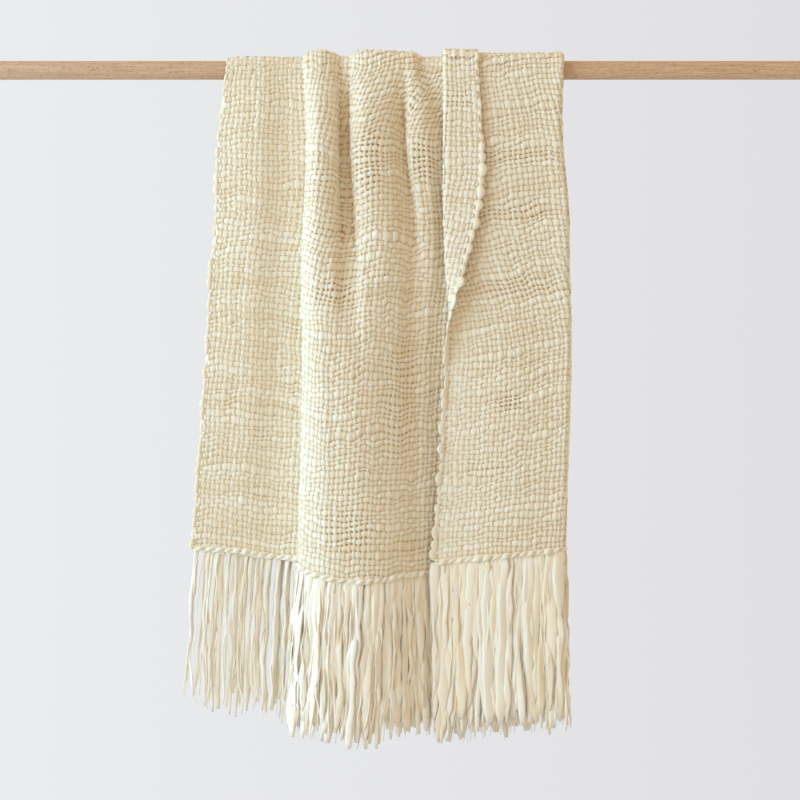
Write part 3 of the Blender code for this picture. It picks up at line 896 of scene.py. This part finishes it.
def felted_web():
    """Thin closed sheet on the cloth's middle surface, just short of its edges."""
    rod_part = np.linspace(REST_ROWS, REST_ROWS + WRAP_RUN, WEB_ROD_ROWS)
    share = np.linspace(0, 1, WEB_DROP_ROWS, endpoint=False)
    front_part = np.maximum(REST_ROWS * (1 - (1 - share) ** WEB_ROW_POWER), WEB_EDGE)
    runs = np.unique(np.concatenate((front_part, FLAP_END_RUNS, rod_part, CLOTH_RUN - front_part)))
    grid_u = with_halfway_rings(np.stack(
        [np.interp(runs, crossing_run[:, j], crossing_u[:, j]) for j in range(warp_count)], axis=1))
    grid_run = np.repeat(runs[:, None], grid_u.shape[1], axis=1)
    bpy.ops.mesh.primitive_grid_add(
        x_subdivisions=grid_u.shape[1] - 1, y_subdivisions=len(runs) - 1, size=1)
    web = bpy.context.object
    web.name = "felted_web"
    web.data.vertices.foreach_set("co", on_cloth(surface, grid_u, grid_run).ravel())
    # painted shade: the web is darker where the weave is open, for the shade seen through the holes
    opened = np.clip(WEB_OPEN_GAIN * openness(grid_u, grid_run), 0, 1)
    shade = WEB_TONE - WEB_HOLE_PAINTED_SHADE * opened
    tone = web.data.attributes.new("tone", "FLOAT", "POINT")
    tone.data.foreach_set("value", shade.ravel().astype(np.float32))
    solid = web.modifiers.new("Thickness", "SOLIDIFY")
    solid.thickness = WEB_THICKNESS
    solid.offset = 0
    bpy.ops.object.modifier_apply(modifier=solid.name)
    web.data.materials.append(felt_wool_painted_shade)
    web.data.shade_smooth()
    outward_facing(web.data)
    bpy.ops.object.select_all(action="DESELECT")
    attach(web, "root")
    return web


web = felted_web()
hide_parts("throw")
print("web", len(web.data.polygons), "faces")

# %% [markdown]
# Every weft turns back at the selvedge, and its soft loop shows there as a puff. The
# loops differ a lot in size, which makes the edges of the cloth scalloped. They are
# small near the rod and on the far left, and large lower down on the turned edge.

# %% Selvedge loops
LOOP_RINGS = 7
LOOP_SIDES = 8
LOOP_SPREAD = 1.7
LOOP_FLATNESS = 0.7
LOOP_UNEVENNESS = 0.55
LOOP_OVERLAP = 0.35
LOOP_SETBACK = 1.3
LOOP_LIFT = 0.5
LOOP_END = 0.62
LOOP_PAINTED_SHADE = 0.2
LOOP_TONE = 0.1
UPPER_PART = (110, 175)
UPPER_SIZE = 0.4
SELVEDGES = (
    # name, u, which way is out, first row, reach, radius, tone
    ("selvedge_left", 0, -1, 0, 0.0022, 0.0018, 0.4),
    ("selvedge_right", 1, 1, 1, 0.0030, 0.0026, 0.55),
)


def selvedge_loops(name, edge_u, outward_sign, first, reach, radius, mean_tone):
    """A loop of weft around the outermost warp for every pair of rows."""
    starts = np.arange(first, weft_count - 1, 2)
    column = 0 if edge_u == 0 else -1
    share = np.linspace(0, 1, LOOP_RINGS)
    ends = crossing_run[starts, column], crossing_run[starts + 1, column]
    turn = (1 - np.cos(np.pi * share)) / 2
    past_ends = (1 + 2 * LOOP_OVERLAP) * turn - LOOP_OVERLAP
    run = ends[0][:, None] + (ends[1] - ends[0])[:, None] * past_ends
    u = np.full(run.shape, float(edge_u))
    size = np.exp(LOOP_UNEVENNESS * chance.uniform(-1, 1, (len(starts), 1)))
    from_rod = np.abs(ends[0] - CLOTH_RUN / 2)
    size *= np.interp(from_rod, UPPER_PART, (UPPER_SIZE, 1))[:, None]
    bulge = np.sin(np.pi * share)
    out = reach * size * bulge - LOOP_SETBACK * radius
    lifted = LOOP_LIFT * radius * chance.uniform(-1, 1, (len(starts), 1)) * bulge
    normal = on_cloth(facing, u, run)
    centres = on_cloth(surface, u, run) + normal * lifted[..., None]
    centres += outward_sign * out[..., None] * on_cloth(across, u, run)
    thick = radius * size ** PLUMP_POWER * (LOOP_END + (1 - LOOP_END) * bulge)
    # painted light and shade: each loop is lighter at its outer middle and darker where it tucks
    # into the cloth
    tone = mean_tone + LOOP_PAINTED_SHADE * (bulge - 0.5)
    tone = tone + LOOP_TONE * chance.uniform(-1, 1, (len(starts), 1))
    corners = round_rings(centres, normal, LOOP_SPREAD * thick, LOOP_FLATNESS * thick, LOOP_SIDES)
    return tube_mesh(name, corners, tone)


edge_pieces = [add_piece(selvedge_loops(*row), yarn_wool) for row in SELVEDGES]

# %% [markdown]
# Two thick yarns twist around each other along both hems and lock the last weft. From
# the front they show as a row of slanting puffs of uneven size. Each is a tube on a
# flat helix, half a turn apart from the other.

# %% Twined hems
TWINE_RINGS_A_TURN = 8
TWINE_TURN = 0.023
TWINE_RADIUS = 0.0027
TWINE_DEPTH = 0.0014
TWINE_RISE = 0.0022
TWINE_INSET = 1.0
TWINE_ENDS = (0.002, 0.998)
TWINE_WANDER = (0.9, 45)
TWINE_SLUBS = (0.5, 14)
TWINE_TONE = 0.75
TWINE_TONES = (0.14, 30)
TWINE_BULGE = (0.55, 0.6)


def twined_hem(name, run_at_hem):
    """Two strands that twist along a hem."""
    turns = CLOTH_WIDTH / TWINE_TURN
    u = np.linspace(*TWINE_ENDS, round(turns * TWINE_RINGS_A_TURN))
    u_mm = u * 1000 * CLOTH_WIDTH
    wander = TWINE_WANDER[0] * slow_wave(u_mm, TWINE_WANDER[1])
    phase = 2 * np.pi * turns * u + wander + np.pi * np.arange(2)[:, None]
    u = np.repeat(u[None], 2, axis=0)
    run = np.full(u.shape, float(run_at_hem))
    normal = on_cloth(facing, u, run)
    centres = on_cloth(surface, u, run) + normal * (TWINE_DEPTH * np.cos(phase))[..., None]
    centres += on_cloth(along, u, run) * (TWINE_RISE * np.sin(phase))[..., None]
    bulge = TWINE_BULGE[0] + TWINE_BULGE[1] * np.abs(np.cos(phase))
    radius = TWINE_RADIUS * bulge * np.exp(TWINE_SLUBS[0] * slow_waves(2, u_mm, TWINE_SLUBS[1]))
    tone = TWINE_TONE + TWINE_TONES[0] * slow_waves(2, u_mm, TWINE_TONES[1])
    return tube_mesh(name, round_rings(centres, normal, radius, radius, LOOP_SIDES), tone)


edge_pieces += [
    add_piece(twined_hem("hem_front", TWINE_INSET), yarn_wool),
    add_piece(twined_hem("hem_back", CLOTH_RUN - TWINE_INSET), yarn_wool)]

# %% [markdown]
# Below each hem the warps run on, hardly spun at all. Several kinds hang there together:
# two rows of flat soft locks, thick and thin, one close behind the other; finer wavy
# strings; and single wisps. They cling in clumps, drift apart further down and end
# raggedly. The cloth's left part has a thin, sparse fringe, and light shows between its
# strands.

# %% Fringe sizes
FRINGE_LENGTH = 0.205
FRINGE_HALF_SPAN = 0.3
ROOT_JITTER = 0.45
ROOT_SHARE = 0.25
RAGGED = (0.88, 1.06)
RAGGED_WAVE = (0.05, 40)
CLUMP_SIZE = (19, 110)
CLUMP_PULL = 0.005
DRIFT_SIZE = (90, 120)
DRIFT = 0.004
SWAY_POWER = 0.8
LEAN_POWER = 0.6
WAVER = ((1, 30), (0.4, 12))
SWING_CELL = 34
SLUBS = ((0.4, 40), (0.3, 16))
STRAND_SPREAD = 0.35
TURNED = (0.4, 60)
STRAND_TONE = 0.2
STRAND_SLOW_TONE = (0.15, 60)
THIN_PART = (0.17, 0.22)
THIN_FRINGE = 0.5
THIN_COUNT = 0.5
LONG_PART = (0.6, 0.78)
LONGER = 1.11
STRAND_PROFILE = ((0, 0.75), (0.06, 1), (0.92, 1), (1, 0.5))
FATTEST = 1.8
LEAN = (-0.005, 0.010)
FRINGE_KINDS = (
    # kind, strands for each warp, rings, sides, half width, height share, waviness, layer, tone
    ("locks", 1, 21, 6, 0.0038, 0.27, 0.0022, (0.0002, 0.0014), 0.66),
    # the hidden locks' lower tone is painted shade for the row that lies in the shade of the locks
    # in front
    ("hidden_locks", 1.1, 19, 6, 0.0054, 0.2, 0.0015, (-0.0018, -0.0006), 0.45),
    ("strings", 1.3, 22, 4, 0.0013, 0.8, 0.0028, (-0.0012, 0.0018), 0.6),
    ("wisps", 1.3, 14, 3, 0.0005, 1.0, 0.0034, (-0.003, 0.003), 0.7),
)
print(len(FRINGE_KINDS), "kinds of strands")

# %% [markdown]
# The row of each kind is one mesh from arrays, since all strands differ but follow one
# rule. Their roots lie evenly along the hem but for a small jitter, and are thinned out
# on the left. From there each hangs down, sways more and more, and swells and thins.

# %% Loose strands
def fringe_row(name, run_at_hem, count, rings, sides, half_width, flatness, waviness, layer,
               mean_tone):
    """Loose strands along one hem."""
    u = (np.arange(count) + 0.5 + chance.uniform(-ROOT_JITTER, ROOT_JITTER, count)) / count
    chosen = np.cumsum(np.interp(u, THIN_PART, (THIN_COUNT, 1)))
    u = u[np.diff(np.floor(chosen), prepend=0) > 0]
    count = len(u)
    run = np.full(count, float(run_at_hem))
    root = on_cloth(surface, u, run)
    face = on_cloth(facing, u, run)
    share = np.linspace(0, 1, rings)
    down = FRINGE_LENGTH * chance.uniform(*RAGGED, count)
    down *= 1 + RAGGED_WAVE[0] * slow_wave(u * 1000 * CLOTH_WIDTH, RAGGED_WAVE[1])
    down *= np.interp(u, LONG_PART, (1, LONGER))
    mm = share * 1000 * FRINGE_LENGTH
    u_mm = np.repeat(u[:, None] * 1000 * CLOTH_WIDTH, rings, axis=1)
    depth_mm = np.repeat(mm[None], count, axis=0)
    clump = patches(u_mm, depth_mm, *CLUMP_SIZE)
    drift = patches(u_mm, depth_mm, *DRIFT_SIZE)
    free = np.clip(share / ROOT_SHARE, 0, 1)
    sway = share ** SWAY_POWER * (CLUMP_PULL * clump + DRIFT * drift)
    sway += free * waviness * added_waves(count, mm, WAVER)
    swing = free * waviness * slow_waves(count, mm, SWING_CELL)
    lean = LEAN[0] + LEAN[1] * (root[:, 0] - ROD_MIDDLE) / FRINGE_HALF_SPAN
    depth = chance.uniform(*layer, count)
    centres = np.repeat(root[:, None], rings, axis=1)
    centres += face[:, None] * (depth[:, None] * free + swing)[..., None]
    centres[:, :, 0] += lean[:, None] * share ** LEAN_POWER + sway
    centres[:, :, 2] -= down[:, None] * share
    slubs = added_waves(count, mm, SLUBS)
    thick = np.exp(STRAND_SPREAD * chance.uniform(-1, 1, (count, 1)) + slubs)
    thick = half_width * np.minimum(thick, FATTEST)
    thick *= np.interp(u, THIN_PART, (THIN_FRINGE, 1))[:, None]
    thick *= np.interp(share, *zip(*STRAND_PROFILE))
    turned = TURNED[0] * slow_waves(count, mm, TURNED[1])[..., None]
    outward = face[:, None] * np.cos(turned) + on_cloth(across, u, run)[:, None] * np.sin(turned)
    tone = mean_tone + STRAND_TONE * chance.uniform(-1, 1, (count, 1))
    tone = tone + STRAND_SLOW_TONE[0] * slow_waves(count, mm, STRAND_SLOW_TONE[1])
    corners = round_rings(centres, outward, thick, flatness * thick, sides)
    return tube_mesh(name, corners, tone)


for place, run_at_hem in (("front", 0), ("back", CLOTH_RUN)):
    for kind, per_warp, *sizes in FRINGE_KINDS:
        row = add_piece(fringe_row(
            f"fringe_{place}_{kind}", run_at_hem, round(per_warp * warp_count), *sizes),
            fringe_wool)
        if kind == "locks":
            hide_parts(f"fringe_{place}")
